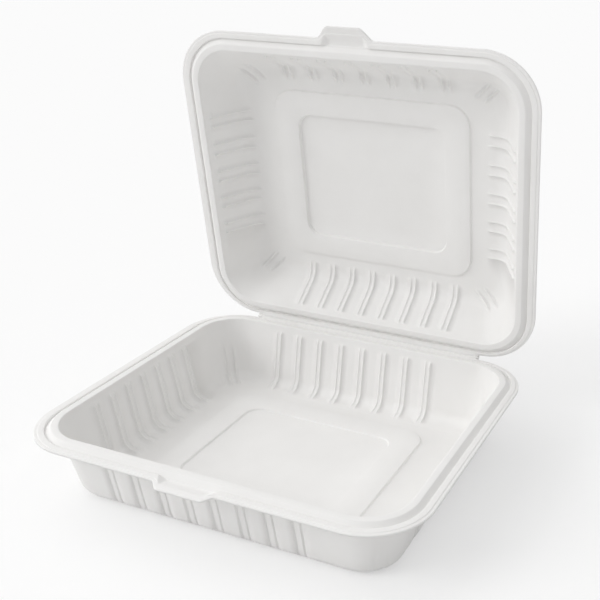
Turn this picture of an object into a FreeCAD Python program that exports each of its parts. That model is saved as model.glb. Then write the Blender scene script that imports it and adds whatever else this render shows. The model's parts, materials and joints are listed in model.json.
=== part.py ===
# Hinged clamshell food container moulded from bagasse pulp.
#
# Two shallow trays, a base and a lid, share one soft fold along the rear edge. Each tray has a
# flat outer lip, a raised sealing bead, leaning ribbed walls and a floor with a stepped panel.
# A hooded tab on the lid drops over a grooved tab on the base.
#
# Frame: +Z up, +X along the fold, -Y to the front. The origin is the centre of the base's foot.
# Each tray is drawn open side up with the top of its bead at Z = 0 and its fold edge at Y = 0:
# the base runs towards -Y and the lid towards +Y. The lid is then turned up about the fold.
import FreeCAD, Part
import Sketcher
import math
import os

App = FreeCAD
V = FreeCAD.Vector

doc = App.newDocument("bagasse_clamshell")

# ----------------------------------------------------------------------------- dimensions
sheet = doc.addObject("Spreadsheet::Sheet", "dims")
DIMS = [
    ("box_width", 230.0, "overall width along the fold"),
    ("tray_depth", 193.0, "fold line to front lip edge, each tray"),
    ("corner_radius", 34.0, "plan radius of the lip corners"),
    ("wall", 0.9, "thickness of the moulded sheet"),
    ("lip_width", 5.0, "flat outer lip"),
    ("hinge_lip", 2.4, "lip left beside the fold"),
    ("lip_drop", 1.2, "lip below the top of the bead"),
    ("groove_width", 0.5, "crease between lip and bead"),
    ("groove_drop", 1.9, "crease below the top of the bead"),
    ("slope_width", 2.9, "rounded outer side of the bead"),
    ("land_width", 3.8, "flat top of the bead"),
    ("cavity_radius", 23.0, "plan radius of the cavity at the bead"),
    ("edge_round", 1.0, "soft edge between bead and cavity"),
    ("base_height", 41.0, "top of the base's bead above the foot"),
    ("base_lean", 8.0, "inward run of the base's walls"),
    ("base_bend", 7.0, "inside radius between wall and floor, base"),
    ("lid_height", 27.0, "lid depth over the same two faces"),
    ("lid_lean", 15.0, "inward run of the lid's walls"),
    ("lid_bend", 11.0, "inside radius between wall and floor, lid"),
    ("panel_step", 0.8, "step of the floor panel"),
    ("panel_half", 65.5, "half width of the outer step"),
    ("panel_rear", 40.5, "outer step from the fold"),
    ("panel_front", 41.0, "outer step from the front edge"),
    ("panel_round", 13.0, "corner radius of the outer step"),
    ("inner_half", 49.3, "half width of the inner step"),
    ("inner_rear", 55.0, "inner step from the fold"),
    ("inner_front", 56.0, "inner step from the front edge"),
    ("inner_round", 9.0, "corner radius of the inner step"),
    ("rib_rise", 0.75, "rib height on the inside of a wall"),
    ("rib_width", 1.3, "width of one ridge"),
    ("rib_sink", 0.4, "depth of the channel behind a ridge"),
    ("rib_channel", 0.8, "width of that channel"),
    ("rib_start", 3.5, "rib start below the top of the bead"),
    ("rib_taper", 1.2, "run over which a rib rises at its start"),
    ("rib_floor_run", 3.0, "how far a rib runs on along the floor"),
    ("rib_root", 0.3, "overlap of a ridge with the sheet"),
    ("base_rear_ribs", 8.0, "double ribs on the base's rear wall"),
    ("base_rear_pitch", 15.4, "spacing of those ribs"),
    ("base_rear_pair", 3.2, "spacing of the two ridges of one of them"),
    ("base_front_ribs", 8.0, "double ribs on the base's front wall"),
    ("base_front_pitch", 15.7, "spacing of those ribs"),
    ("base_front_pair", 4.2, "spacing of the two ridges of one of them"),
    ("base_side_ribs", 7.0, "double ribs on each side wall of the base"),
    ("base_side_pitch", 13.8, "spacing of those ribs"),
    ("base_side_pair", 3.8, "spacing of the two ridges of one of them"),
    ("lid_rear_ribs", 8.0, "double ribs on the lid's fold side"),
    ("lid_rear_pitch", 14.8, "spacing of those ribs"),
    ("lid_rear_pair", 3.4, "spacing of the two ridges of one of them"),
    ("lid_front_ribs", 7.0, "double ribs on the lid's front wall"),
    ("lid_front_pitch", 17.0, "spacing of those ribs"),
    ("lid_front_pair", 4.4, "spacing of the two ridges of one of them"),
    ("lid_side_ribs", 5.0, "double ribs on each side wall of the lid"),
    ("lid_side_pitch", 18.2, "spacing of those ribs"),
    ("lid_side_pair", 6.4, "spacing of the two ridges of one of them"),
    ("corner_spread", 9.0, "turn of each corner ridge off the diagonal, degrees"),
    ("web_half", 80.0, "half length of the fold"),
    ("fold_gap", 0.15, "half of the clearance at the fold"),
    ("fold_rise", 0.2, "fold axis above the top of the beads"),
    ("open_angle", 83.0, "lid angle from closed as it stands"),
    ("base_tab_half", 18.6, "half width of the base's tab"),
    ("base_tab_reach", 4.6, "base tab beyond the lip"),
    ("base_tab_round", 2.5, "corner radius of the base's tab"),
    ("pocket_half", 14.5, "half length of the groove in the base's tab"),
    ("pocket_width", 6.4, "width of that groove"),
    ("pocket_deep", 2.6, "depth of that groove"),
    ("pocket_rim", 1.2, "flat rim in front of that groove"),
    ("lid_tab_root", 16.6, "half width of the lid's tab at its root"),
    ("lid_tab_tip", 12.2, "half width of the lid's tab at its tip"),
    ("lid_tab_reach", 7.5, "lid tab beyond the lip"),
    ("lid_tab_sink", 3.0, "lid tab's root below the top of the bead"),
    ("lid_tab_lift", 0.6, "lid tab's tip above the top of the bead"),
]
for row, (alias, value, note) in enumerate(DIMS, start=1):
    sheet.set("A%d" % row, alias)
    sheet.set("B%d" % row, repr(value))
    sheet.set("C%d" % row, note)
    sheet.setAlias("B%d" % row, alias)
doc.recompute()


class Size:
    """A measure that carries its formula, tied to the sheet, and its present value."""

    def __init__(self, text, value):
        self.text = text
        self.value = value

    def __add__(self, other):
        other = as_size(other)
        return Size("(%s + %s)" % (self.text, other.text), self.value + other.value)

    def __sub__(self, other):
        other = as_size(other)
        return Size("(%s - %s)" % (self.text, other.text), self.value - other.value)

    def __mul__(self, other):
        other = as_size(other)
        return Size("(%s * %s)" % (self.text, other.text), self.value * other.value)

    def __truediv__(self, other):
        other = as_size(other)
        return Size("(%s / %s)" % (self.text, other.text), self.value / other.value)

    def __neg__(self):
        return Size("(-1 * %s)" % self.text, -self.value)

    __radd__ = __add__
    __rmul__ = __mul__


def as_size(number):
    return number if isinstance(number, Size) else Size("%.6g" % number, float(number))


def root(size):
    return Size("sqrt(%s)" % size.text, math.sqrt(size.value))


def dim(alias):
    return Size("dims." + alias, float(sheet.get(alias)))


ZERO = as_size(0.0)
W = dim("wall")
LIP = dim("lip_drop")
BEAD = dim("groove_width") + dim("slope_width") + dim("land_width")
HALF = dim("box_width") * 0.5 - dim("lip_width") - BEAD
REAR = dim("hinge_lip") + BEAD
FRONT = dim("tray_depth") - dim("lip_width") - BEAD


# ----------------------------------------------------------------------------- sketch helpers
def plane(body, role):
    for feature in body.Origin.OriginFeatures:
        if feature.Role == role:
            return feature
    raise RuntimeError(role)


def new_sketch(body, name, role, lift=None, turn=None, shift=None):
    """A sketch on one of the body's own planes, moved along it, off it, or turned upright."""
    sk = body.newObject("Sketcher::SketchObject", name)
    sk.AttachmentSupport = [(plane(body, role), "")]
    sk.MapMode = "FlatFace"
    if turn is not None:
        sk.AttachmentOffset = App.Placement(V(0, 0, 0), App.Rotation(V(0, 1, 0), turn.value))
        sk.setExpression("AttachmentOffset.Rotation.Angle", turn.text)
    if shift is not None:
        sk.setExpression("AttachmentOffset.Base.x", shift.text)
    if lift is not None:
        sk.setExpression("AttachmentOffset.Base.z", lift.text)
    return sk


def bind(sk, constraint, size):
    """Add a driving dimension to a sketch and tie it to the sheet."""
    index = sk.addConstraint(constraint)
    sk.setExpression("Constraints[%d]" % index, size.text)


def bind_point(sk, geometry, end, x, y):
    bind(sk, Sketcher.Constraint("DistanceX", -1, 1, geometry, end, x.value), x)
    bind(sk, Sketcher.Constraint("DistanceY", -1, 1, geometry, end, y.value), y)


def rounded_rect(sk, x0, x1, y0, y1, radius):
    a, b, c, d, r = (q.value for q in (x0, x1, y0, y1, radius))
    g = sk.GeometryCount
    up = V(0, 0, 1)
    corners = [(b - r, c + r, -0.5), (b - r, d - r, 0.0), (a + r, d - r, 0.5), (a + r, c + r, 1.0)]
    lines = [(a + r, c, b - r, c), (b, c + r, b, d - r), (b - r, d, a + r, d), (a, d - r, a, c + r)]
    for (px, py, qx, qy), (ox, oy, at) in zip(lines, corners):
        sk.addGeometry(Part.LineSegment(V(px, py, 0), V(qx, qy, 0)))
        circle = Part.Circle(V(ox, oy, 0), up, r)
        sk.addGeometry(Part.ArcOfCircle(circle, at * math.pi, (at + 0.5) * math.pi))
    for k in range(8):
        sk.addConstraint(Sketcher.Constraint("Tangent", g + k, 2, g + (k + 1) % 8, 1))
    for k in (0, 4):
        sk.addConstraint(Sketcher.Constraint("Horizontal", g + k))
    for k in (2, 6):
        sk.addConstraint(Sketcher.Constraint("Vertical", g + k))
    for k in (3, 5, 7):
        sk.addConstraint(Sketcher.Constraint("Equal", g + 1, g + k))
    bind(sk, Sketcher.Constraint("Radius", g + 1, r), radius)
    bind(sk, Sketcher.Constraint("DistanceX", -1, 1, g + 6, 1, a), x0)
    bind(sk, Sketcher.Constraint("DistanceX", -1, 1, g + 2, 1, b), x1)
    bind(sk, Sketcher.Constraint("DistanceY", -1, 1, g + 0, 1, c), y0)
    bind(sk, Sketcher.Constraint("DistanceY", -1, 1, g + 4, 1, d), y1)


def polygon(sk, points):
    """A closed outline with straight sides."""
    n = len(points)
    g = sk.GeometryCount
    for k in range(n):
        p = points[k]
        q = points[(k + 1) % n]
        sk.addGeometry(Part.LineSegment(V(p[0].value, p[1].value, 0), V(q[0].value, q[1].value, 0)))
    for k in range(n):
        sk.addConstraint(Sketcher.Constraint("Coincident", g + k, 2, g + (k + 1) % n, 1))
    for k in range(n):
        bind_point(sk, g + k, 1, points[k][0], points[k][1])


def edges_at(shape, level, reach_min, reach_max):
    """Edges of a horizontal outline at one height, picked by how far they reach in X."""
    found = []
    for number, edge in enumerate(shape.Edges, start=1):
        box = edge.BoundBox
        level_edge = abs(box.ZMin - level) < 0.02 and abs(box.ZMax - level) < 0.02
        reach = max(abs(box.XMin), abs(box.XMax))
        if level_edge and reach_min <= reach <= reach_max:
            found.append("Edge%d" % number)
    return found


# ----------------------------------------------------------------------------- tray
class Tray:
    """One tray. side is -1 for the base, which runs towards -Y, and +1 for the lid."""

    def __init__(self, kind, side):
        self.kind = kind
        self.side = side
        self.height = dim(kind + "_height")
        self.lean = dim(kind + "_lean")
        self.bend = dim(kind + "_bend")
        self.body = doc.addObject("PartDesign::Body", kind + "_tray")
        self.body.Label = kind + "_tray"
        self.ridges = doc.addObject("PartDesign::Body", kind + "_ridges")
        self.channels = doc.addObject("PartDesign::Body", kind + "_channels")
        for tool in (self.ridges, self.channels):
            tool.AllowCompound = True
        self.into = self.body

    def y(self, size):
        """Y of a distance from the fold."""
        return size if self.side > 0 else -size

    def span(self, near, far):
        return (near, far) if self.side > 0 else (-far, -near)

    def sketch(self, name, role, **moves):
        return new_sketch(self.into, name, role, **moves)

    def rect(self, sk, half, near, far, radius):
        y0, y1 = self.span(near, far)
        rounded_rect(sk, -half, half, y0, y1, radius)

    def add(self, kind, name):
        return self.into.newObject("PartDesign::" + kind, name)

    def extrude(self, kind, sk, length, name, back, both):
        f = self.add(kind, name)
        f.Refine = False
        f.Profile = sk
        f.setExpression("Length", length.text)
        f.Reversed = back
        f.Midplane = both
        doc.recompute()
        return f

    def pad(self, sk, length, name, down=False, both=False):
        return self.extrude("Pad", sk, length, name, down, both)

    def cut(self, sk, length, name, up=False, both=False):
        return self.extrude("Pocket", sk, length, name, up, both)

    def lean_in(self, feature):
        feature.setExpression("TaperAngle", "-1 * atan(%s / %s)" % (self.lean.text, self.height.text))
        doc.recompute()

    def shell(self):
        """Leaning walls and floor, one sheet thick, with the wall running round into the floor."""
        mouth = self.sketch("tub_plan", "XY_Plane")
        self.rect(mouth, HALF + W, REAR - W, FRONT + W, dim("cavity_radius") + W)
        self.lean_in(self.pad(mouth, self.height, "tub", down=True))
        hollow = self.sketch("cavity_plan", "XY_Plane")
        self.rect(hollow, HALF, REAR, FRONT, dim("cavity_radius"))
        cavity = self.cut(hollow, self.height - W, "cavity")
        self.lean_in(cavity)
        inside = self.add("Fillet", "inner_bend")
        inside.Base = (cavity, edges_at(cavity.Shape, (W - self.height).value, 5.0, 200.0))
        inside.setExpression("Radius", self.bend.text)
        doc.recompute()
        outside = self.add("Fillet", "outer_bend")
        outside.Base = (inside, edges_at(inside.Shape, -self.height.value, 5.0, 200.0))
        outside.setExpression("Radius", (self.bend + W).text)
        doc.recompute()

    def lip(self):
        """The flat outer lip, and the bead that stands above it round the cavity."""
        ring = self.sketch("lip_plan", "XY_Plane", lift=-LIP)
        self.rect(ring, dim("box_width") * 0.5, dim("fold_gap"), dim("tray_depth"), dim("corner_radius"))
        self.rect(ring, HALF, REAR, FRONT, dim("cavity_radius"))
        self.pad(ring, W, "lip", down=True)
        path = self.sketch("bead_path", "XY_Plane")
        self.rect(path, HALF, REAR, FRONT, dim("cavity_radius"))
        land = dim("land_width")
        slope = dim("slope_width")
        drop = dim("groove_drop")
        section = [
            (ZERO, ZERO),
            (land, ZERO),
            (land + slope * 0.35, drop * -0.14),
            (land + slope * 0.72, drop * -0.48),
            (land + slope, -drop),
            (BEAD, W * 0.3 - drop),
            (BEAD, -LIP - W),
            (land + slope - W * 0.4, -drop - W),
            (land + slope * 0.5, drop * -0.3 - W),
            (land, -W),
            (ZERO, -W),
        ]
        profile = self.sketch("bead_section", "YZ_Plane")
        polygon(profile, [(self.y(FRONT + out), z) for out, z in section])
        bead = self.add("AdditivePipe", "bead")
        bead.Profile = profile
        bead.Spine = (path, ["Edge%d" % (k + 1) for k in range(8)])
        doc.recompute()
        soft = self.add("Fillet", "cavity_edge")
        soft.Base = (bead, edges_at(bead.Shape, 0.0, 5.0, HALF.value + 0.05))
        soft.setExpression("Radius", "dims.edge_round")
        doc.recompute()

    def fold_edge(self):
        """The lip beside the fold rises to the fold axis over the straight part of the edge."""
        reach = dim("hinge_lip")
        clear = self.sketch("fold_clear", "YZ_Plane")
        box = [(ZERO, LIP), (reach, LIP), (reach, LIP * -3), (ZERO, LIP * -3)]
        polygon(clear, [(self.y(out), z) for out, z in box])
        self.cut(clear, dim("web_half") * 2, "fold_room", both=True)
        web = self.sketch("fold_section", "YZ_Plane")
        strip = [
            (dim("fold_gap"), ZERO),
            (dim("fold_gap"), -W),
            (reach, -LIP - W),
            (reach + 0.3, -LIP - W),
            (reach + 0.3, -LIP),
            (reach, -LIP),
        ]
        polygon(web, [(self.y(out), z) for out, z in strip])
        self.pad(web, dim("web_half") * 2, "fold_web", both=True)

    def panel(self):
        """A frame stepped up from the floor, hollow underneath by the same step."""
        step = dim("panel_step")
        near, far = dim("panel_rear"), dim("tray_depth") - dim("panel_front")
        near_in, far_in = dim("inner_rear"), dim("tray_depth") - dim("inner_front")
        over = self.sketch("panel_plan", "XY_Plane", lift=W - self.height)
        self.rect(over, dim("panel_half"), near, far, dim("panel_round"))
        self.rect(over, dim("inner_half"), near_in, far_in, dim("inner_round"))
        self.pad(over, step, "panel")
        under = self.sketch("panel_under_plan", "XY_Plane", lift=-self.height)
        self.rect(under, dim("panel_half") - W, near + W, far - W, dim("panel_round") - W)
        self.rect(under, dim("inner_half") + W, near_in - W, far_in + W, dim("inner_round") + W)
        self.cut(under, step, "panel_under", up=True)

    def rib_section(self, sk, place, near, far, early, late):
        """Outline of a ridge or channel that follows wall, bend and floor between two offsets.

        Offsets are measured from the inside of the sheet towards the cavity. place turns a
        distance in from the cavity's rim and a depth below it into sketch coordinates.
        """
        slant = root(self.lean * self.lean / (self.height * self.height) + 1)
        low = self.height - W
        down = low - self.bend
        centre = self.lean * down / self.height + self.bend * slant
        end = centre + dim("rib_floor_run")
        g = sk.GeometryCount
        top = []
        foot = []
        middle = place(centre, down)
        for index, (offset, start) in enumerate(((far, late), (near, early))):
            radius = self.bend - offset
            out = as_size(1) / slant
            fall = self.lean / self.height / slant
            a = place(self.lean * start / self.height + offset * out, start - offset * fall)
            b = place(centre - radius * out, down + radius * fall)
            c = place(centre, down + radius)
            d = place(end + as_size(0.8 if index else 0.0), low - offset)
            top.append(a)
            foot.append(d)
            base = g + 3 * index
            sk.addGeometry(Part.LineSegment(V(a[0].value, a[1].value, 0), V(b[0].value, b[1].value, 0)))
            t0 = math.atan2(b[1].value - middle[1].value, b[0].value - middle[0].value)
            t1 = math.atan2(c[1].value - middle[1].value, c[0].value - middle[0].value)
            turn = (t1 - t0 + math.pi) % (2 * math.pi) - math.pi
            circle = Part.Circle(V(middle[0].value, middle[1].value, 0), V(0, 0, 1), radius.value)
            first, last = (t0, t0 + turn) if turn > 0 else (t0 + turn, t0)
            sk.addGeometry(Part.ArcOfCircle(circle, first, last))
            sk.addGeometry(Part.LineSegment(V(c[0].value, c[1].value, 0), V(d[0].value, d[1].value, 0)))
            head, tail = (1, 2) if turn > 0 else (2, 1)
            sk.addConstraint(Sketcher.Constraint("Tangent", base, 2, base + 1, head))
            sk.addConstraint(Sketcher.Constraint("Tangent", base + 1, tail, base + 2, 1))
            bind(sk, Sketcher.Constraint("Radius", base + 1, radius.value), radius)
            bind_point(sk, base + 1, 3, middle[0], middle[1])
            bind_point(sk, base, 1, a[0], a[1])
            bind_point(sk, base + 2, 2, d[0], d[1])
        for side, end_index, pair in ((g, 1, top), (g + 2, 2, foot)):
            k = sk.GeometryCount
            p, q = pair
            sk.addGeometry(Part.LineSegment(V(p[0].value, p[1].value, 0), V(q[0].value, q[1].value, 0)))
            sk.addConstraint(Sketcher.Constraint("Coincident", side, end_index, k, 1))
            sk.addConstraint(Sketcher.Constraint("Coincident", side + 3, end_index, k, 2))

    def rib(self, name, role, place, repeat, **moves):
        """One ridge inside and the narrow channel behind it, each repeated by the same rule."""
        start = dim("rib_start")
        late = start + dim("rib_taper")
        kinds = (
            (self.ridges, "ridge", -dim("rib_root"), dim("rib_rise"), start, late, dim("rib_width")),
            (self.channels, "channel", -W - 0.5, dim("rib_sink") - W, late, late, dim("rib_channel")),
        )
        for body, kind, near, far, early, first, width in kinds:
            self.into = body
            section = self.sketch("%s_%s_section" % (name, kind), role, **moves)
            self.rib_section(section, place, near, far, early, first)
            pad = self.pad(section, width, "%s_%s" % (name, kind), both=True)
            repeat(pad, section, "%s_%s" % (name, kind))
            doc.recompute()
        self.into = self.body

    def rib_row(self, name, role, place, centre, mirror):
        """A row of double ribs along one wall, or along both side walls."""
        row = self.kind + "_" + name
        count, pitch, pair = dim(row + "_ribs"), dim(row + "_pitch"), dim(row + "_pair")

        def repeat(pad, section, label):
            multi = self.add("MultiTransform", label + "_row")
            multi.Refine = False
            multi.Originals = [pad]
            steps = []
            grids = (("twin", pair, as_size(2)), ("along", (count - 1) * pitch, count))
            for step_name, length, number in grids:
                step = self.add("LinearPattern", label + "_" + step_name)
                step.Direction = (section, ["N_Axis"])
                step.setExpression("Length", length.text)
                step.setExpression("Occurrences", number.text)
                steps.append(step)
            if mirror:
                step = self.add("Mirrored", label + "_mirrored")
                step.MirrorPlane = (plane(self.into, "YZ_Plane"), [""])
                steps.append(step)
            multi.Transformations = steps
            self.into.Tip = multi

        first = centre - (count - 1) * pitch * 0.5 - pair * 0.5
        self.rib(name, role, place, repeat, lift=first)

    def corner_ribs(self):
        """Two ridges in each corner, either side of the diagonal and square to the wall."""
        def repeat(pad, section, label):
            both = self.add("Mirrored", label + "_mirrored")
            both.Refine = False
            both.Originals = [pad]
            both.MirrorPlane = (plane(self.into, "YZ_Plane"), [""])
            self.into.Tip = both

        bend = dim("cavity_radius")
        place = lambda run, depth: (bend - run, -depth)
        for where, along, outward in (("rear", REAR + bend, -1), ("front", FRONT - bend, 1)):
            for twist, label in ((-1, "a"), (1, "b")):
                turn = dim("corner_spread") * twist + 45 * outward * self.side
                name = "%s_corner_%s" % (where, label)
                self.rib(name, "XZ_Plane", place, repeat, turn=turn, shift=HALF - bend, lift=-self.y(along))

    def wall_ribs(self):
        rear = lambda run, depth: (self.y(REAR + run), -depth)
        front = lambda run, depth: (self.y(FRONT - run), -depth)
        side = lambda run, depth: (HALF - run, -depth)
        middle = -self.y((REAR + FRONT) * 0.5)
        self.rib_row("rear", "YZ_Plane", rear, ZERO, False)
        self.rib_row("front", "YZ_Plane", front, ZERO, False)
        self.rib_row("side", "XZ_Plane", side, middle, True)

    def join_ribs(self):
        """Add all the ridges to the tray at once, then sink all the channels."""
        for body, kind, label in ((self.ridges, "Fuse", "ridges_on"), (self.channels, "Cut", "channels_in")):
            step = self.add("Boolean", label)
            step.Refine = False
            step.Type = kind
            step.setObjects([body])
            doc.recompute()

    def grooved_tab(self):
        """The base's tab: the lip widened, with a V-shaped groove along it for the lid's hook."""
        half, reach = dim("base_tab_half"), dim("base_tab_reach")
        depth = dim("tray_depth")
        flat = self.sketch("tab_plan", "XY_Plane", lift=-LIP)
        self.rect(flat, half, depth - dim("lip_width"), depth + reach, dim("base_tab_round"))
        self.pad(flat, W, "tab", down=True)
        run, wide, deep = dim("pocket_half"), dim("pocket_width"), dim("pocket_deep")
        far = depth + reach - dim("pocket_rim")
        near = far - wide
        middle = far - wide * 0.5
        keel = self.sketch("tab_groove_outside", "YZ_Plane")
        under = -LIP - W
        outer = [(far, -LIP), (far, under), (middle, under - deep), (near, under), (near, -LIP)]
        polygon(keel, [(self.y(out), z) for out, z in outer])
        self.pad(keel, run * 2, "tab_groove_shell", both=True)
        trough = self.sketch("tab_groove_inside", "YZ_Plane")
        side = W * 0.6
        inner = [
            (far - side, ZERO),
            (far - side, -LIP),
            (middle, -LIP - deep),
            (near + side, -LIP),
            (near + side, ZERO),
        ]
        polygon(trough, [(self.y(out), z) for out, z in inner])
        self.cut(trough, run * 2 - W * 2, "tab_groove", both=True)

    def hooked_tab(self):
        """The lid's tab: a ramp that starts below the bead and rises past the lip, with cheeks."""
        edge = dim("tray_depth")
        start = edge - dim("lip_width") - dim("groove_width")
        tip = edge + dim("lid_tab_reach")
        sink, lift = dim("lid_tab_sink"), dim("lid_tab_lift")
        wide, slim = dim("lid_tab_root"), dim("lid_tab_tip")
        rise = (sink + lift) / (tip - start)
        at_edge = rise * (edge - start) - sink
        block = self.sketch("tab_block", "YZ_Plane")
        outer = [
            (start, -LIP),
            (edge, -LIP),
            (edge, at_edge - W),
            (start, -sink - W),
            (start - W, -sink - W),
            (start - W, -LIP - W),
            (start, -LIP - W),
        ]
        polygon(block, [(self.y(out), z) for out, z in outer])
        self.pad(block, wide * 2, "tab_cheeks", both=True)
        ramp = self.sketch("tab_ramp_section", "YZ_Plane")
        strip = [(start, -sink), (tip, lift), (tip, lift - W), (start, -sink - W)]
        polygon(ramp, [(self.y(out), z) for out, z in strip])
        self.pad(ramp, wide * 2, "tab_ramp", both=True)
        room = self.sketch("tab_room", "YZ_Plane")
        inner = [(start, lift), (edge + W, lift), (edge + W, at_edge + rise * W), (start, -sink)]
        polygon(room, [(self.y(out), z) for out, z in inner])
        self.cut(room, (wide - W) * 2, "tab_hollow", both=True)
        plan = self.sketch("tab_sides", "XY_Plane")
        for side in (-1, 1):
            outside = [(wide, edge), (wide + 1, edge), (wide + 1, tip + 1), (slim, tip + 1), (slim, tip)]
            polygon(plan, [(x * side, self.y(out)) for x, out in outside])
        self.cut(plan, sink * 4, "tab_trim", both=True)


# ----------------------------------------------------------------------------- the two trays
base = Tray("base", -1)
lid = Tray("lid", 1)
for tray in (base, lid):
    tray.shell()
    tray.lip()
    tray.fold_edge()
    tray.panel()
    if tray is base:
        tray.grooved_tab()
    else:
        tray.hooked_tab()
    tray.corner_ribs()
    tray.wall_ribs()
    tray.join_ribs()

# the base stands on its foot; the lid is turned up about the fold
fold_y = (dim("tray_depth") + dim("hinge_lip") - dim("lip_width")) * 0.5
fold_z = dim("base_height") + dim("fold_rise")
lift_angle = as_size(180.0) - dim("open_angle")
base.body.setExpression("Placement.Base.y", fold_y.text)
base.body.setExpression("Placement.Base.z", "dims.base_height")
lid.body.Placement = App.Placement(V(0, 0, 0), App.Rotation(V(1, 0, 0), lift_angle.value))
lid.body.setExpression("Placement.Rotation.Angle", lift_angle.text)
swing_y = Size("(dims.fold_rise * sin(%s))" % lift_angle.text, 0.0)
swing_z = Size("(-1 * dims.fold_rise * cos(%s))" % lift_angle.text, 0.0)
lid.body.setExpression("Placement.Base.y", (fold_y + swing_y).text)
lid.body.setExpression("Placement.Base.z", (fold_z + swing_z).text)
doc.recompute()

# ----------------------------------------------------------------------------- checks and export
for item in doc.Objects:
    for state in item.State:
        if state in ("Invalid", "Error"):
            raise RuntimeError("%s is %s" % (item.Name, state))
os.makedirs("parts", exist_ok=True)
for tray in (base, lid):
    shape = tray.body.Shape
    if shape.isNull() or not shape.isValid() or len(shape.Solids) != 1:
        raise RuntimeError("%s is not one valid solid" % tray.body.Label)
    shape.exportStep("parts/%s.step" % tray.body.Label)
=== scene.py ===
"""Looks of a hinged clamshell container moulded from bagasse pulp.

Each tray is one closed sheet: an inside face and an outside face, both laid out as rings that
run round the tray, from the lip's edge down to the middle of the floor. Columns cross the rings
and crowd together where a rib stands. A tray is shaped in its own frame: x along the fold, v
away from the fold and z up from the flat top of the bead, with s the way in from the lip's edge.
Lengths are in millimetres until a mesh is made.
"""
import json
import math

import bpy
import numpy as np
from mathutils import Matrix, Vector


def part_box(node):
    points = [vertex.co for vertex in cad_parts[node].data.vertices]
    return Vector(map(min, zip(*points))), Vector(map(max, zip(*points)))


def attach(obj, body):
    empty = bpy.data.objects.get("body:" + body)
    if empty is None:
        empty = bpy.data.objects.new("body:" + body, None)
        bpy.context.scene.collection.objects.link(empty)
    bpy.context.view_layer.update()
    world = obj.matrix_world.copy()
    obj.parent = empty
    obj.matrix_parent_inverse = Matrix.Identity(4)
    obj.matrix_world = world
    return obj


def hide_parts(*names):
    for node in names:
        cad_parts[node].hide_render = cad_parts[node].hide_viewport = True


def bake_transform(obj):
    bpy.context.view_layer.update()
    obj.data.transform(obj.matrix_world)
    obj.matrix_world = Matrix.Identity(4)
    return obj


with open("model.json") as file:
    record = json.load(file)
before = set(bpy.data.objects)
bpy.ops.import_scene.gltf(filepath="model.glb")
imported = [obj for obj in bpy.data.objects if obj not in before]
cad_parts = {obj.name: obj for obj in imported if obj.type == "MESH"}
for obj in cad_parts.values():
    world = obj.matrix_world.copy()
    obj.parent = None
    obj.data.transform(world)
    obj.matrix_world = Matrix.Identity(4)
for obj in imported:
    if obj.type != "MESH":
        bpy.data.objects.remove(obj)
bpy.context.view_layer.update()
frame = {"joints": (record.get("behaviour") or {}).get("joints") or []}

MM = 0.001
hinge = next(j for j in frame["joints"] if j["name"] == "lid_hinge")
FOLD_Y = hinge["pos_m"][1] / MM
FOLD_Z = hinge["pos_m"][2] / MM
OPEN_ANGLE = max(hinge["range_deg"])          # how far the lid stands from closed
LID_TURN = math.radians(180.0 - OPEN_ANGLE)   # between the base's plane and the lid's
base_low, base_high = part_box("base_tray")
HALF = base_high[0] / MM                      # half width over the lips
BASE_TOP = base_high[2] / MM                  # top of the base's bead above the floor
BASE_TAB = 4.6                                # how far the base's tab reaches past the lip
DEPTH = FOLD_Y - base_low[1] / MM - BASE_TAB  # fold to the front edge of the lip
FOLD_RISE = FOLD_Z - BASE_TOP                 # fold above the top of the bead

WALL = 0.9                                    # thickness of the sheet
LIP = 5.0                                     # lip's edge to the crease
HINGE_LIP = 2.4                               # fold to the crease, where the lip is narrow
FOLD_GAP = 0.25                               # fold to the edge of the lip there
LAND = 8.4                                    # lip's edge to the flat top of the bead
RIM = 12.2                                    # lip's edge to the cavity
LIP_DROP = 1.2                                # lip below the top of the bead
LIP_STEP = 0.3                                # the lip's outer band lies a little lower
LIP_BAND = 1.7                                # width of that band
CREASE_DROP = 2.85                            # crease below the top of the bead
LIP_ROUND = 34.0                              # corner radius at the lip's edge
CAVITY_ROUND = 23.0                           # corner radius at the cavity
ROUND_LOSS = 0.45                             # share of the inset that the corner radius gives up
WEB_HALF = 80.0                               # half length of the fold

# panels pressed into the floor: half width, rear edge, front edge, corner radius
PANEL = (65.5, 40.5, DEPTH - 41.0, 13.0)
INNER_PANEL = (49.3, 55.0, DEPTH - 56.0, 9.0)
# the step round a panel: how far past its line, share of its height
SOFT_STEP = [(-0.5, 0.0), (-0.3, 0.06), (-0.15, 0.24), (0.15, 0.76), (0.3, 0.94), (0.5, 1.0)]
SOFT_STEP_OUTSIDE = [(-0.6, 0.0), (0.0, 0.4), (0.6, 1.0)]

WALL_KNEE = 6.5                               # above this fall the wall's rings stand closer
BEND_STEPS = 12                               # rings round the bend into the floor
BEND_STEPS_OUTSIDE = 7
FLOOR_RUNS = (1.0, 2.0, 3.0, 3.8, 4.6, 5.8, 7.0)
CORNER_COLUMNS = 40
WIDEST_GAP = 4.2                              # between two columns of a straight side
LONG_KNEE = 60.0                              # columns this near the middle of a side stay upright
SHORT_KNEE = 44.0

RIB_RISE = 1.1                                # how much stronger the ribs are than their rows say
RIB_RUN = 2.2                                 # plain wall above the ribs
RIDGE_HALF = 0.9                              # half width of one ridge
RIDGE_STEPS = (-0.9, -0.74, -0.42, 0.0, 0.42, 0.74, 0.95)
CHANNEL_WEB = 0.35                            # depth between two channels, as a share of theirs
CORNER_PAIR = 5.6                             # spacing of the two marks in a corner

# columns across a tab, measured from its middle
TAB_PLACES = [0.0, 4.0, 7.0] + [8.6 + 0.6 * k for k in range(19)]


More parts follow.
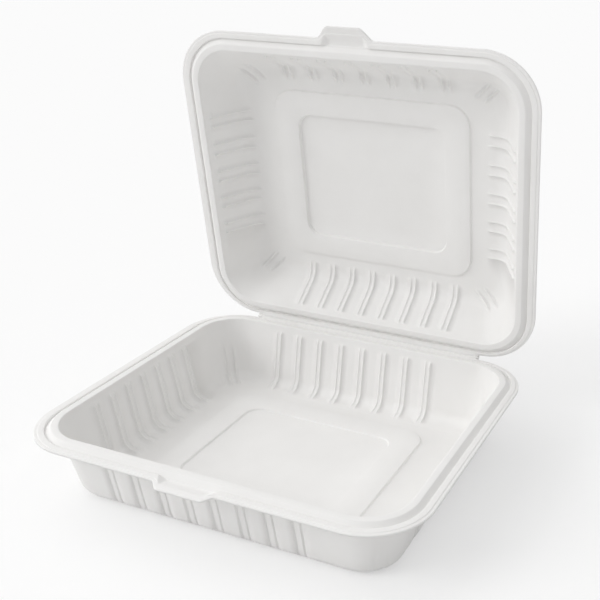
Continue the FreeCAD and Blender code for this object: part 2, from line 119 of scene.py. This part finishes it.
def ribs(centre, pitch, count, pair, low, high, beyond, web, channel, knob):
    """A row of double ribs.

    pair is the spacing of the two ridges, low and high their height on the wall and in the bend,
    beyond how far they run on past the bend, web the share of a ridge between them, channel the
    depth outside and knob the extra height at the rim's end.
    """
    return {"centre": centre, "pitch": pitch, "count": count, "pair": pair, "low": low, "high": high,
            "beyond": beyond, "web": web, "channel": channel, "knob": knob}


BASE = {
    "kind": "base", "height": BASE_TOP, "lean": 8.0, "bend": 7.0,
    "step": 1.2, "recess": 1.2, "lift": 1.5, "panel_shift": -3.0, "front_trim": 0.0,
    "rear": ribs(-3.8, 15.4, 8, 2.8, low=0.9, high=1.2, beyond=4.0, web=0.45, channel=0.9, knob=0.0),
    "front": ribs(-4.8, 15.95, 8, 4.2, low=1.0, high=1.2, beyond=4.0, web=0.3, channel=1.15, knob=0.0),
    "side": ribs(98.0, 13.8, 7, 3.4, low=1.25, high=1.6, beyond=5.5, web=0.3, channel=0.9, knob=0.0),
    "rib_fade": 3.0, "swell": 0.5, "right_beyond": 0.0,
    "corner_aside": (0.0, 0.0), "corner_before": 21.0, "corner_beyond": 3.5,
    "tab": {"middle": -2.8, "tip_half": 12.4, "root_half": 18.8, "reach": 4.5, "tip": -0.9, "sink": 2.3,
            "cheek_half": 17.6, "apex_half": 13.0, "cheek_wide": 4.0, "cheek_run": 7.8},
}
LID = {
    "kind": "lid", "height": 26.98, "lean": 15.0, "bend": 11.0,
    "step": 1.2, "recess": 2.1, "lift": 0.0, "panel_shift": 0.0, "front_trim": 0.9,
    "rear": ribs(3.0, 14.8, 8, 3.2, low=0.9, high=1.2, beyond=4.0, web=0.32, channel=0.8, knob=0.0),
    "front": ribs(-0.8, 17.4, 7, 4.4, low=0.25, high=2.6, beyond=2.5, web=0.0, channel=0.5, knob=1.2),
    "side": ribs(96.5, 18.2, 5, 6.4, low=0.8, high=0.9, beyond=0.0, web=0.0, channel=0.5, knob=0.8),
    "rib_fade": 0.9, "swell": 0.36, "right_beyond": 6.0,
    "corner_aside": (2.8, 5.0), "corner_before": 6.0, "corner_beyond": 2.5,
    "tab": {"middle": -0.6, "tip_half": 9.6, "root_half": 18.4, "reach": 7.2, "tip": 1.7, "sink": 3.2,
            "cheek_half": 15.2, "apex_half": 11.9, "cheek_wide": 3.6, "cheek_run": 6.4},
}


def smooth(edge0, edge1, x):
    """Nought below edge0, one above edge1, and an even S between them."""
    t = np.clip((np.asarray(x, float) - edge0) / (edge1 - edge0), 0.0, 1.0)
    return t * t * (3 - 2 * t)


# ----------------------------------------------------------------------------- section of a tray
def unit(vector):
    return vector / np.linalg.norm(vector)


def corner_arc(before, here, after, radius, turns):
    """Points of the arc that rounds a line where it turns."""
    to_last, to_next = unit(before - here), unit(after - here)
    half = math.acos(float(np.clip(to_last @ to_next, -1, 1))) / 2
    centre = here + unit(to_last + to_next) * radius / math.sin(half)
    first = here + to_last * radius / math.tan(half) - centre
    last = here + to_next * radius / math.tan(half) - centre
    begin, end = math.atan2(first[1], first[0]), math.atan2(last[1], last[0])
    sweep = (end - begin + math.pi) % (2 * math.pi) - math.pi
    return [centre + radius * np.array((math.cos(begin + sweep * t), math.sin(begin + sweep * t)))
            for t in np.linspace(0, 1, turns + 1)]


def rounded(corners, turns=3, flats=1.0):
    """A line through corners (inset, height, radius), each one turned by an arc."""
    points = []
    for k, (inset, z, radius) in enumerate(corners):
        here = np.array((inset, z))
        arc = [here]
        if radius > 0:
            before, after = np.array(corners[k - 1][:2]), np.array(corners[k + 1][:2])
            arc = corner_arc(before, here, after, radius, 2 if radius < 0.25 else turns)
        if points:
            start = points[-1]
            parts = max(1, math.ceil(np.linalg.norm(arc[0] - start) / flats))
            points += [start + (arc[0] - start) * t / parts for t in range(1, parts)]
        points += arc
    return [(float(inset), float(z)) for inset, z in points]


def inside_rim():
    """Way in and height, from the lip's edge over the bead to the cavity."""
    return rounded([
        (0.0, -2.1, 0), (0.0, -LIP_DROP - LIP_STEP, 0.35), (LIP_BAND, -LIP_DROP - LIP_STEP, 0.12),
        (LIP_BAND + 0.3, -LIP_DROP, 0.15), (LIP, -LIP_DROP, 0.3), (LIP + 0.25, -CREASE_DROP, 0.2),
        (LAND, 0.0, 0.9), (RIM, 0.0, 0.6), (RIM + 0.25, -1.0, 0),
    ])


def outside_rim():
    """The same under the sheet."""
    return rounded([
        (0.0, -2.6, 0), (0.25, -LIP_DROP - LIP_STEP - WALL, 0.2), (LIP - 0.9, -LIP_DROP - WALL, 0.3),
        (LIP + 0.3, -CREASE_DROP - 0.6, 0.5), (LAND + 0.3, -WALL, 0.6), (RIM - WALL - 0.1, -WALL, 0.4),
        (RIM - WALL + 0.1, -1.8, 0),
    ], turns=2, flats=1.3)


def wall_points(spec, outside):
    """Inset past the cavity's edge, height and normal, down the wall and round into the floor.

    The inset at which the bend meets the floor comes with them.
    """
    height, lean, bend = spec["height"], spec["lean"], spec["bend"]
    slant = math.hypot(1.0, lean / height)
    angle = math.atan2(lean, height)
    down = height - WALL - bend
    bend_end = lean * down / height + bend * slant
    radius = bend + (WALL if outside else 0.0)
    shift = -WALL * slant if outside else 0.0
    last = down + radius * math.sin(angle)
    if outside:
        falls = np.linspace(2.2, last, 8)[:-1]
    else:
        falls = [*np.linspace(1.5, WALL_KNEE, 11)[:-1], *np.linspace(WALL_KNEE, last, 9)[:-1]]
    points = [(lean * fall / height + shift, -fall, math.cos(angle), math.sin(angle)) for fall in falls]
    for turn in np.linspace(angle, math.pi / 2, (BEND_STEPS_OUTSIDE if outside else BEND_STEPS) + 1):
        n_in, n_up = math.cos(turn), math.sin(turn)
        points.append((bend_end - radius * n_in, -down - radius * n_up, n_in, n_up))
    return points, bend_end


def rear_inset(s):
    """Distance from the fold on the hinge side, where the lip is narrow and stops short of the fold."""
    return FOLD_GAP + s * (HINGE_LIP - FOLD_GAP) / LIP if s < LIP else s - (LIP - HINGE_LIP)


class Rings:
    """The rings of one face: half width, rear and front edge, corner radius and height of each,
    the length of the section so far, the normal inwards and upwards, and the zone."""

    def __init__(self):
        self.rows = []

    def add(self, half, rear, front, radius, z, along=0.0, normal=(0.0, 1.0), zone="floor"):
        self.rows.append((half, rear, front, radius, z, along, normal[0], normal[1], zone))

    def add_inset(self, s, radius, z, along, normal=(0.0, 1.0), zone="floor"):
        """A ring that lies s in from the lip's edge."""
        self.add(HALF - s, rear_inset(s), DEPTH - s, radius, z, along, normal, zone)

    def add_panel(self, edges, shrink, z):
        """A ring round a panel, so much smaller than its edges."""
        half, rear, front, radius = edges
        self.add(half - shrink, rear + shrink, front - shrink, radius - shrink * 0.5, z, zone="panel")

    def numbers(self):
        return np.array([row[:8] for row in self.rows], float).T

    def zones(self):
        return np.array([row[8] for row in self.rows])


def panel_rings(rings, spec, floor, outside):
    """The panel's two steps and the middle of the floor."""
    grow = -WALL if outside else 0.0
    soft = SOFT_STEP_OUTSIDE if outside else SOFT_STEP
    top = floor + spec["step"]
    for shift, part in soft:
        rings.add_panel(PANEL, shift - grow, floor + spec["step"] * part)
    for shift, part in reversed(soft):
        rings.add_panel(INNER_PANEL, grow - shift, top - spec["recess"] * (1 - part))
    half, rear, front, radius = INNER_PANEL
    mid = (rear + front) / 2
    for share in (0.7, 0.35, 0.06):
        rings.add(half * share, mid - (mid - rear) * share, mid + (front - mid) * share,
                  radius * share, top - spec["recess"], zone="panel")


def build_rings(spec, outside):
    """The rings of one face, from the lip's edge to the middle of the floor."""
    rings = Rings()
    for s, z in (outside_rim() if outside else inside_rim()):
        radius = LIP_ROUND + (CAVITY_ROUND - LIP_ROUND) * s / RIM
        rings.add_inset(s, radius, z, s, zone="lip" if s <= LIP - 0.05 else "bead")
    points, bend_end = wall_points(spec, outside)
    along = RIM
    last = points[0]
    for point in points:
        inset, z, n_in, n_up = point
        along += math.hypot(inset - last[0], z - last[1])
        last = point
        rings.add_inset(RIM + inset, CAVITY_ROUND - ROUND_LOSS * inset, z, along, (n_in, n_up), "wall")
    floor = -spec["height"] + (0.0 if outside else WALL)
    for run in FLOOR_RUNS:
        inset = bend_end + run
        rings.add_inset(RIM + inset, CAVITY_ROUND - ROUND_LOSS * inset, floor, along + run)
    panel_rings(rings, spec, floor + spec["lift"], outside)
    return rings


# ----------------------------------------------------------------------------- columns
def rib_centres(row):
    return [row["centre"] + (k - (row["count"] - 1) / 2) * row["pitch"] for k in range(row["count"])]


def ridge_places(row):
    """The two ridges of every rib in a row."""
    return [at + side * row["pair"] / 2 for at in rib_centres(row) for side in (-1, 1)]


def side_columns(length, ridges, extra=()):
    """Places along one straight side, measured from its middle, crowded at ridges."""
    places = {round(x, 3) for x in (-length, length, *extra)}
    places |= {round(ridge + step, 3) for ridge in ridges for step in RIDGE_STEPS}
    kept = []
    for at in sorted(p for p in places if -length <= p <= length):
        if not kept or at - kept[-1] > 0.05:
            kept.append(at)
    kept[-1] = length
    filled = [kept[0]]
    for at in kept[1:]:
        start = filled[-1]
        pieces = max(1, math.ceil((at - start) / WIDEST_GAP))
        filled += [start + (at - start) * k / pieces for k in range(1, pieces + 1)]
    return filled


class Columns:
    """The columns round a tray: which side or corner each belongs to, and its place there.

    share is where a column stands as a share of the half side, out is its way outwards.
    """

    def __init__(self, spec):
        rear_edge, front_edge = rear_inset(RIM), DEPTH - RIM
        self.mid = (rear_edge + front_edge) / 2
        self.long_side = HALF - RIM - CAVITY_ROUND
        self.short_side = (front_edge - rear_edge) / 2 - CAVITY_ROUND
        corner = np.linspace(0.0, math.pi / 2, CORNER_COLUMNS + 2)[1:-1]
        tab = [spec["tab"]["middle"] + side * at for side in (-1, 1) for at in TAB_PLACES]
        rear = side_columns(self.long_side, ridge_places(spec["rear"]))
        front = side_columns(self.long_side, ridge_places(spec["front"]), tab)
        side = side_columns(self.short_side, [at - self.mid for at in ridge_places(spec["side"])])
        rows = [(x / self.long_side, -1, 0, -1, x, "rear") for x in rear]
        rows += [(1, -1, math.sin(a), -math.cos(a), a, "corner") for a in corner]
        rows += [(1, v / self.short_side, 1, 0, v, "side") for v in side]
        rows += [(1, 1, math.cos(a), math.sin(a), a, "corner") for a in corner]
        rows += [(x / self.long_side, 1, 0, 1, x, "front") for x in reversed(front)]
        rows += [(-1, 1, -math.sin(a), math.cos(a), a, "corner") for a in corner]
        rows += [(-1, v / self.short_side, -1, 0, v, "side") for v in reversed(side)]
        rows += [(-1, -1, -math.cos(a), -math.sin(a), a, "corner") for a in corner]
        numbers = np.array([row[:5] for row in rows], float).T
        self.share_x, self.share_v, self.out_x, self.out_v, self.at = numbers
        self.side = np.array([row[5] for row in rows])


def spread(share, whole, reach, knee):
    """Places of the columns on rings whose straight side reaches that far: ribs stay upright."""
    place = np.abs(share) * whole
    reach = reach[:, None]
    bent = np.minimum(place, knee) + np.maximum(place - knee, 0) * (reach - knee) / (whole - knee)
    return np.sign(share) * np.where(reach > knee + 2, bent, place * reach / whole)


# ----------------------------------------------------------------------------- ribs and tabs
def ridge_shape(distance):
    """Section of one ridge, one at its top."""
    t = np.clip(np.abs(distance) / RIDGE_HALF, 0.0, 1.0)
    return (1 - t * t) ** 0.8


def pair_shape(distance, pair, web, outside):
    """Section of a double rib: two ridges with a low web inside, two channels outside."""
    half = pair / 2
    between = 1 - smooth(half - 0.5, half + 0.2, np.abs(distance))
    if outside:
        channels = 1 - smooth(0.2, 1.1, np.abs(np.abs(distance) - half))
        return np.maximum(channels, CHANNEL_WEB * between)
    ridges = np.maximum(ridge_shape(distance - half), ridge_shape(distance + half))
    return np.maximum(ridges, web * between)


def rib_limits(spec):
    """Lengths of the section at which ribs start, the bend is half way round and the floor begins."""
    points, _ = wall_points(spec, False)
    steps = [math.dist(a[:2], b[:2]) for a, b in zip(points, points[1:])]
    floor = RIM + sum(steps)
    slant = math.hypot(1.0, spec["lean"] / spec["height"])
    return RIM + RIB_RUN * slant, floor - sum(steps[-BEND_STEPS:]) / 2, floor


def bend_swell(spec, along, bend):
    """One in the middle of the bend into the floor, falling away up the wall and on the floor."""
    return np.exp(-((along - bend) / (spec["swell"] * spec["bend"])) ** 2)


def corner_marks(spec, columns, x, v, along, outside):
    """Height of the two short marks that cross each corner."""
    _, bend, floor = rib_limits(spec)
    past_x = (x - columns.share_x * columns.long_side) * np.sign(columns.share_x)
    past_v = (v - (columns.mid + columns.share_v * columns.short_side)) * np.sign(columns.share_v)
    left, right = spec["corner_aside"]
    aside = np.where(columns.share_x > 0, right, left)
    bar = pair_shape((past_x - past_v) / math.sqrt(2) + aside, CORNER_PAIR, 0.0, outside)
    first, last = bend - spec["corner_before"], floor + spec["corner_beyond"]
    window = smooth(first, first + 2.5, along) * (1 - smooth(last - 2.5, last, along))
    height = 0.4 if outside else 1.3 + 0.4 * bend_swell(spec, along, bend)
    return bar * (window * height)[:, None]


def rib_height(spec, columns, x, v, along, outside):
    """Height of the ribs over the plain sheet at every point of a face."""
    first, bend, floor = rib_limits(spec)
    if outside:
        first += 1.0
    start = smooth(first, first + spec["rib_fade"], along)
    if outside:
        start = start * (1 - smooth(bend - 0.45 * spec["bend"], bend + 0.1 * spec["bend"], along))
    swell = bend_swell(spec, along, bend)
    rim_end = np.exp(-((along - first - 0.8) / 0.75) ** 2)
    height = np.zeros_like(x)
    for name in ("rear", "front", "side"):
        row = spec[name]
        mask = columns.side == name
        at = columns.at[mask] + (columns.mid if name == "side" else 0.0)
        section = np.max([pair_shape(at - rib, row["pair"], row["web"], outside) for rib in rib_centres(row)],
                         axis=0)
        on_right = (columns.out_x[mask] > 0) * (name == "side")
        stop = floor + row["beyond"] + spec["right_beyond"] * on_right
        level = row["low"] + row["knob"] * rim_end + (row["high"] - row["low"]) * swell
        level = row["channel"] if outside else level * RIB_RISE
        run_out = 1 - smooth(-4.0, 0.0, along[:, None] - stop)
        height[:, mask] = section * (start * level)[:, None] * run_out
    mask = columns.side == "corner"
    height[:, mask] = corner_marks(spec, columns, x, v, along, outside)[:, mask]
    return height


def climb_to_fold(x, z, s, lip_beside_fold, outside):
    """Lift the lip beside the fold to the fold's height."""
    part = lip_beside_fold * (1 - smooth(WEB_HALF - 5.0, WEB_HALF + 0.5, np.abs(x)))
    part = part * (1 - smooth(3.6, 4.7, s))
    web = -LIP_DROP + (LIP_DROP - 0.02) * (1 - smooth(0.0, LIP, s)) - (WALL if outside else 0.0)
    return z * (1 - part) + web * part


def flap(tab, x, v, z, s, outside):
    """Carry the front lip out into a tab whose middle is scooped down into the crease."""
    side = np.abs(x - tab["middle"])
    reach = tab["reach"] * (1 - smooth(tab["tip_half"], tab["root_half"], side))
    v = v + reach * np.clip(1 - s / LIP, 0.0, 1.0)
    top = z + tab["tip"] * smooth(0.0, 1.0, (v - DEPTH) / tab["reach"]) * (s < LIP)
    apex = np.clip((v - DEPTH + LIP) / tab["cheek_run"], 0.0, 1.0)
    edge = tab["cheek_half"] + (tab["apex_half"] - tab["cheek_half"]) * apex
    scoop = np.clip((edge - side) / (tab["cheek_wide"] * (1 - apex) + 0.3), 0.0, 1.0)
    flank = -CREASE_DROP - 0.76 * (LIP + 0.3 - s)
    low = -LIP_DROP + (top - z) - tab["sink"] * (1 - apex)
    low = np.where(s > LIP, np.minimum(low, -CREASE_DROP), low)
    low = np.maximum(low, flank) - (WALL if outside else 0.0)
    scooped = np.where(s > LIP, np.minimum(z, low), np.minimum(top, low))
    return v, top * (1 - scoop) + scooped * scoop


# ----------------------------------------------------------------------------- faces
def face(spec, columns, outside):
    """All points of one face in the tray's own frame."""
    rings = build_rings(spec, outside)
    half, rear, front, radius, level, s, n_in, n_up = rings.numbers()
    zones = rings.zones()
    x = spread(columns.share_x, columns.long_side, half - radius, LONG_KNEE)
    v = spread(columns.share_v, columns.short_side, (front - rear) / 2 - radius, SHORT_KNEE)
    x = x + radius[:, None] * columns.out_x
    v = v + ((rear + front) / 2)[:, None] + radius[:, None] * columns.out_v
    x[zones == "panel"] += spec["panel_shift"]
    height = rib_height(spec, columns, x, v, s, outside)
    x = x - height * n_in[:, None] * columns.out_x
    v = v - height * n_in[:, None] * columns.out_v
    z = level[:, None] + height * n_up[:, None]

    lip = (zones == "lip")[:, None]
    z = climb_to_fold(x, z, s[:, None], lip * (columns.side == "rear"), outside)
    # the front lip may be narrower than the others
    share = np.clip(1 - s / LIP, 0.0, 1.0)[:, None] * lip
    v = v - spec["front_trim"] * share * np.clip(columns.out_v, 0.0, 1.0) ** 2
    near_lip = (zones != "panel") & (s <= LIP + 0.3)
    pick = np.ix_(near_lip, columns.side == "front")
    v[pick], z[pick] = flap(spec["tab"], x[pick], v[pick], z[pick], s[near_lip][:, None], outside)
    return np.stack([x, v, z], axis=-1)


def place(points, kind):
    """From the tray's own frame to the row frame, in metres."""
    x, v, z = points[..., 0], points[..., 1], points[..., 2]
    if kind == "base":
        y = FOLD_Y - v
        height = BASE_TOP + z
    else:
        lifted = z - FOLD_RISE
        y = FOLD_Y + v * math.cos(LID_TURN) - lifted * math.sin(LID_TURN)
        height = FOLD_Z + v * math.sin(LID_TURN) + lifted * math.cos(LID_TURN)
    return np.stack([x, y, height], axis=-1) * MM


def grid_faces(rows, cols, start, turned):
    """Quads between neighbouring rings, all the way round."""
    i = np.arange(rows - 1)[:, None]
    j = np.arange(cols)[None, :]
    k = (j + 1) % cols
    a, b = start + i * cols + j, start + i * cols + k
    c, d = start + (i + 1) * cols + k, start + (i + 1) * cols + j
    quads = np.stack([a, b, c, d], axis=-1).reshape(-1, 4)
    return quads[:, ::-1] if turned else quads


def add_mesh(name, points, faces, material):
    mesh = bpy.data.meshes.new(name)
    mesh.from_pydata(points, [], faces)
    mesh.update()
    mesh.shade_smooth()
    obj = bpy.data.objects.new(name, mesh)
    bpy.context.scene.collection.objects.link(obj)
    mesh.materials.append(material)
    return obj


def tray(spec, name, material):
    """One closed sheet: both faces, the lip's edge between them and a fan in each middle."""
    columns = Columns(spec)
    inner = face(spec, columns, False)
    outer = face(spec, columns, True)
    cols = inner.shape[1]
    start = inner.shape[0] * cols
    points = np.concatenate([inner.reshape(-1, 3), outer.reshape(-1, 3)])
    turned = spec["kind"] == "lid"
    j = np.arange(cols)
    k = (j + 1) % cols
    edge = np.stack([j, start + j, start + k, k], axis=-1)
    faces = np.concatenate([
        grid_faces(inner.shape[0], cols, 0, turned),
        grid_faces(outer.shape[0], cols, start, not turned),
        edge[:, ::-1] if turned else edge,
    ]).tolist()
    for offset, rows, reverse in ((0, inner.shape[0], turned), (start, outer.shape[0], not turned)):
        ring = [offset + (rows - 1) * cols + n for n in range(cols)]
        centre = len(points)
        points = np.concatenate([points, points[ring].mean(axis=0, keepdims=True)])
        for here, after in zip(ring, ring[1:] + ring[:1]):
            faces.append([centre, after, here] if reverse else [here, after, centre])
    return add_mesh(name, place(points, spec["kind"]).tolist(), faces, material)


# ----------------------------------------------------------------------------- fold
def fold_section():
    """Angle and place of the strip's middle surface, from the base's side to the lid's."""
    steps = np.linspace(-1.3, 1.3, 15)
    angles = LID_TURN * smooth(-0.7, 0.7, steps)
    between = (angles[1:] + angles[:-1]) / 2
    y = np.concatenate([[0.0], np.cumsum(np.diff(steps) * np.cos(between))])
    z = np.concatenate([[0.0], np.cumsum(np.diff(steps) * np.sin(between))])
    middle = len(steps) // 2
    y = FOLD_Y + y - y[middle] + 0.32 * math.sin(LID_TURN / 2)
    z = FOLD_Z + z - z[middle] - 0.32 - 0.2 * math.cos(LID_TURN / 2)
    return angles, y, z


def fold_strip(material):
    """The crease between the trays: a short strip of the sheet, bent as the lid stands."""
    half_thick = 0.42
    angles, y, z = fold_section()
    x = np.linspace(-WEB_HALF, WEB_HALF, 81)
    rows, cols = len(angles), len(x)
    points = []
    for rise in (half_thick, -half_thick):
        for angle, middle_y, middle_z in zip(angles, y, z):
            at_y, at_z = middle_y - rise * math.sin(angle), middle_z + rise * math.cos(angle)
            points += [(at_x * MM, at_y * MM, at_z * MM) for at_x in x]
    faces = []

    def quad(corners, turned):
        """A face through corners given as layer, row and column."""
        indices = [(layer * rows + row) * cols + col for layer, row, col in corners]
        faces.append(indices[::-1] if turned else indices)

    for layer in (0, 1):
        for i in range(rows - 1):
            for j in range(cols - 1):
                quad([(layer, i, j), (layer, i, j + 1), (layer, i + 1, j + 1), (layer, i + 1, j)], layer == 1)
    for j in (0, cols - 1):
        for i in range(rows - 1):
            quad([(0, i, j), (0, i + 1, j), (1, i + 1, j), (1, i, j)], j > 0)
    for i in (0, rows - 1):
        for j in range(cols - 1):
            quad([(0, i, j), (0, i, j + 1), (1, i, j + 1), (1, i, j)], i == 0)
    return add_mesh("fold_strip", points, faces, material)


# ----------------------------------------------------------------------------- material
def noise(nodes, links, source, scale, detail):
    texture = nodes.new("ShaderNodeTexNoise")
    texture.inputs["Scale"].default_value = scale
    texture.inputs["Detail"].default_value = detail
    links.new(source.outputs["Object"], texture.inputs["Vector"])
    return texture


def pulp_material():
    """Matt white pulp: a faint cloudy tint, with a fine bump for the fibres."""
    mat = bpy.data.materials.new("moulded_pulp")
    mat.use_nodes = True
    nodes, links = mat.node_tree.nodes, mat.node_tree.links
    shader = nodes["Principled BSDF"]
    shader.inputs["Roughness"].default_value = 0.62
    shader.inputs["Specular IOR Level"].default_value = 0.28
    source = nodes.new("ShaderNodeTexCoord")
    cloud = noise(nodes, links, source, 38.0, 5.0)
    tint = nodes.new("ShaderNodeValToRGB")
    tint.color_ramp.elements[0].position = 0.3
    tint.color_ramp.elements[0].color = (0.850, 0.842, 0.830, 1)
    tint.color_ramp.elements[1].position = 0.7
    tint.color_ramp.elements[1].color = (0.874, 0.867, 0.856, 1)
    links.new(cloud.outputs["Fac"], tint.inputs["Fac"])
    links.new(tint.outputs["Color"], shader.inputs["Base Color"])
    fibre = noise(nodes, links, source, 900.0, 4.0)
    bump = nodes.new("ShaderNodeBump")
    bump.inputs["Strength"].default_value = 0.12
    bump.inputs["Distance"].default_value = 0.0004
    links.new(fibre.outputs["Fac"], bump.inputs["Height"])
    links.new(bump.outputs["Normal"], shader.inputs["Normal"])
    return mat


pulp = pulp_material()
base_piece = tray(BASE, "base_sheet", pulp)
lid_piece = tray(LID, "lid_sheet", pulp)
fold = fold_strip(pulp)
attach(base_piece, "base")
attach(lid_piece, "lid")
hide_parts("base_tray")
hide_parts("lid_tray")
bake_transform(fold)


# ----------------------------------------------------------------------------- studio
def straight_rays(nodes, links):
    """One for camera, glossy and transmission rays, nought for the rays that light the object."""
    path = nodes.new("ShaderNodeLightPath")
    seen = path.outputs["Is Camera Ray"]
    for ray in ("Is Glossy Ray", "Is Transmission Ray"):
        either = nodes.new("ShaderNodeMath")
        either.operation = "MAXIMUM"
        links.new(seen, either.inputs[0])
        links.new(path.outputs[ray], either.inputs[1])
        seen = either.outputs[0]
    return seen


def floor_material():
    """Pale matt floor, a little brighter to the camera than to the object."""
    mat = bpy.data.materials.new("floor")
    mat.use_nodes = True
    nodes, links = mat.node_tree.nodes, mat.node_tree.links
    shader = nodes["Principled BSDF"]
    shader.inputs["Roughness"].default_value = 1.0
    shader.inputs["Specular IOR Level"].default_value = 0.0
    seen = straight_rays(nodes, links)
    tone = nodes.new("ShaderNodeMix")
    tone.data_type = "RGBA"
    tone.inputs["A"].default_value = (0.90, 0.90, 0.90, 1)
    tone.inputs["B"].default_value = (0.99, 0.99, 0.99, 1)
    links.new(seen, tone.inputs["Factor"])
    links.new(tone.outputs["Result"], shader.inputs["Base Color"])
    white = nodes.new("ShaderNodeEmission")
    share = nodes.new("ShaderNodeMath")
    share.operation = "MULTIPLY"
    share.inputs[1].default_value = 0.40
    links.new(seen, share.inputs[0])
    both = nodes.new("ShaderNodeMixShader")
    links.new(share.outputs[0], both.inputs[0])
    links.new(shader.outputs[0], both.inputs[1])
    links.new(white.outputs[0], both.inputs[2])
    links.new(both.outputs[0], nodes["Material Output"].inputs["Surface"])
    return mat


def floor():
    size, low = 6.0, -0.1 * MM                # half width in metres; just under the foot
    corners = [(-size, -size, low), (size, -size, low), (size, size, low), (-size, size, low)]
    mesh = bpy.data.meshes.new("floor")
    mesh.from_pydata(corners, [], [(0, 1, 2, 3)])
    obj = bpy.data.objects.new("floor", mesh)
    bpy.context.scene.collection.objects.link(obj)
    mesh.materials.append(floor_material())


def backdrop():
    """Dim white all round, and plain white where the camera looks past the floor."""
    world = bpy.data.worlds.new("studio")
    bpy.context.scene.world = world
    world.use_nodes = True
    nodes, links = world.node_tree.nodes, world.node_tree.links
    back = nodes["Background"]
    back.inputs["Color"].default_value = (1, 1, 1, 1)
    level = nodes.new("ShaderNodeMix")
    level.data_type = "FLOAT"
    level.inputs["A"].default_value = 0.46
    level.inputs["B"].default_value = 1.0
    links.new(straight_rays(nodes, links), level.inputs["Factor"])
    links.new(level.outputs["Result"], back.inputs["Strength"])


def lamp(name, towards, height, strength, spread_angle):
    """A soft sun: the side it stands on and its height in degrees, strength and spread."""
    light = bpy.data.lights.new(name, "SUN")
    light.energy = strength
    light.angle = math.radians(spread_angle)
    side, rise = math.radians(towards), math.radians(height)
    source = Vector((math.cos(side) * math.cos(rise), math.sin(side) * math.cos(rise), math.sin(rise)))
    obj = bpy.data.objects.new(name, light)
    obj.rotation_euler = (-source).to_track_quat("-Z", "Y").to_euler()
    bpy.context.scene.collection.objects.link(obj)


floor()
backdrop()
lamp("key", 222, 30, 0.68, 25)
lamp("left_fill", 185, 30, 1.14, 90)
lamp("overhead", 200, 85, 0.46, 90)
lamp("right_fill", -10, 50, 0.20, 90)


# ----------------------------------------------------------------------------- camera
def camera():
    """The photograph's view: the way round, the height and the roll in degrees."""
    around, above, roll = (math.radians(a) for a in (22.5, 21.8, 1.0))
    distance = 453.0
    # the lens points at this place, which the shift then moves aside in the picture
    target = Vector((86.9, -115.0 + FOLD_Y, 88.4 + BASE_TOP))
    forward = Vector((-math.sin(around) * math.cos(above), math.cos(around) * math.cos(above),
                      -math.sin(above)))
    level = Vector((math.cos(around), math.sin(around), 0.0))
    upright = level.cross(forward)
    right = level * math.cos(roll) + upright * math.sin(roll)
    up = upright * math.cos(roll) - level * math.sin(roll)
    data = bpy.data.cameras.new("camera")
    data.sensor_width = 36.0
    data.lens = 56.24
    data.shift_x = -0.20
    data.shift_y = -0.0167
    data.clip_start = 0.01
    data.clip_end = 50.0
    obj = bpy.data.objects.new("camera", data)
    position = Matrix.Translation((target - forward * distance) * MM)
    obj.matrix_world = position @ Matrix((right, up, -forward)).transposed().to_4x4()
    bpy.context.scene.collection.objects.link(obj)
    bpy.context.scene.camera = obj


camera()
bpy.context.scene.view_settings.view_transform = "Standard"
